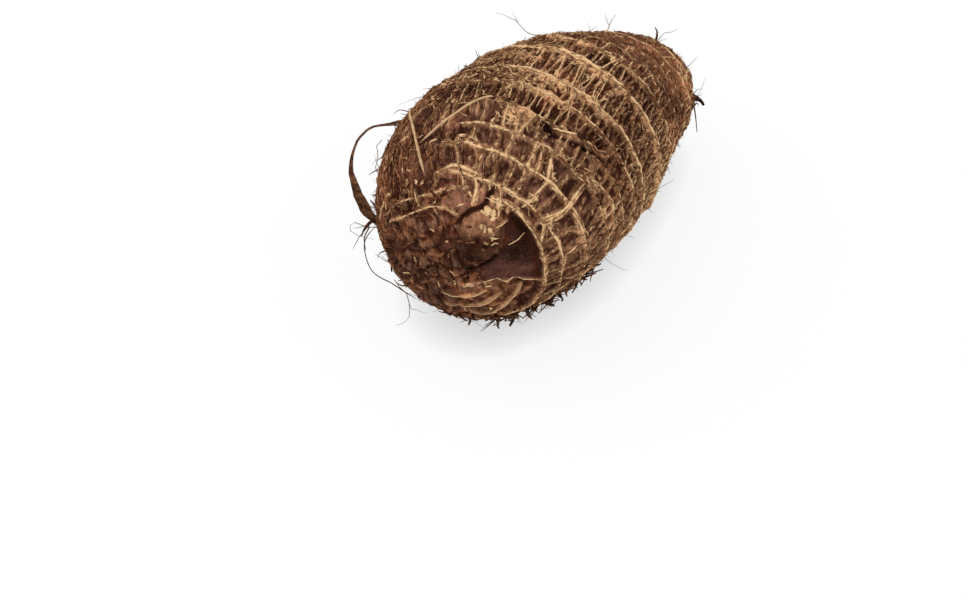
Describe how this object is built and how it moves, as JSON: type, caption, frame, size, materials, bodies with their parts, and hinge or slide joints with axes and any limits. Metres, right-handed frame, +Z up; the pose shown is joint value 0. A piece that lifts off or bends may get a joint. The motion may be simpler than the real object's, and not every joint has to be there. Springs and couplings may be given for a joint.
{
  "type": "elephant ear tuber",
  "caption": "Long rounded corm lying on its side, ringed with fibrous leaf scars, with a blunt crown face, a narrower tail, a dry leaf-base ribbon and broken root ends.",
  "frame": {"origin": "Middle of the whole object's footprint, on the surface that the tuber rests on.", "axes": "+Z up; +Y along the corm toward its narrow tail, so the blunt crown faces -Y; +X to the right, seen from the crown."},
  "size_m": [0.0714, 0.117, 0.0691],
  "materials": {
    "bark": "dry papery bark, dark purple-brown with pale tan fibre rims, matte",
    "dry_leaf_base": "dry leaf-base fibre, red-brown, slight sheen",
    "pale_root": "dry pale root skin, matte",
    "dark_root": "dead dark root, matte"
  },
  "bodies": {
    "root": {"corm": "bark", "leaf_base_ribbon": "dry_leaf_base", "root_strand_long": "pale_root", "root_strand_cross": "pale_root", "root_strand_low": "dark_root", "root_stub_01": "dark_root", "root_stub_02": "dark_root", "root_stub_03": "dark_root", "root_stub_04": "dark_root", "root_stub_05": "dark_root", "root_stub_06": "dark_root", "root_stub_07": "dark_root", "root_stub_08": "dark_root", "root_stub_09": "dark_root", "root_stub_10": "dark_root", "root_stub_11": "dark_root"}
  },
  "joints": []
}
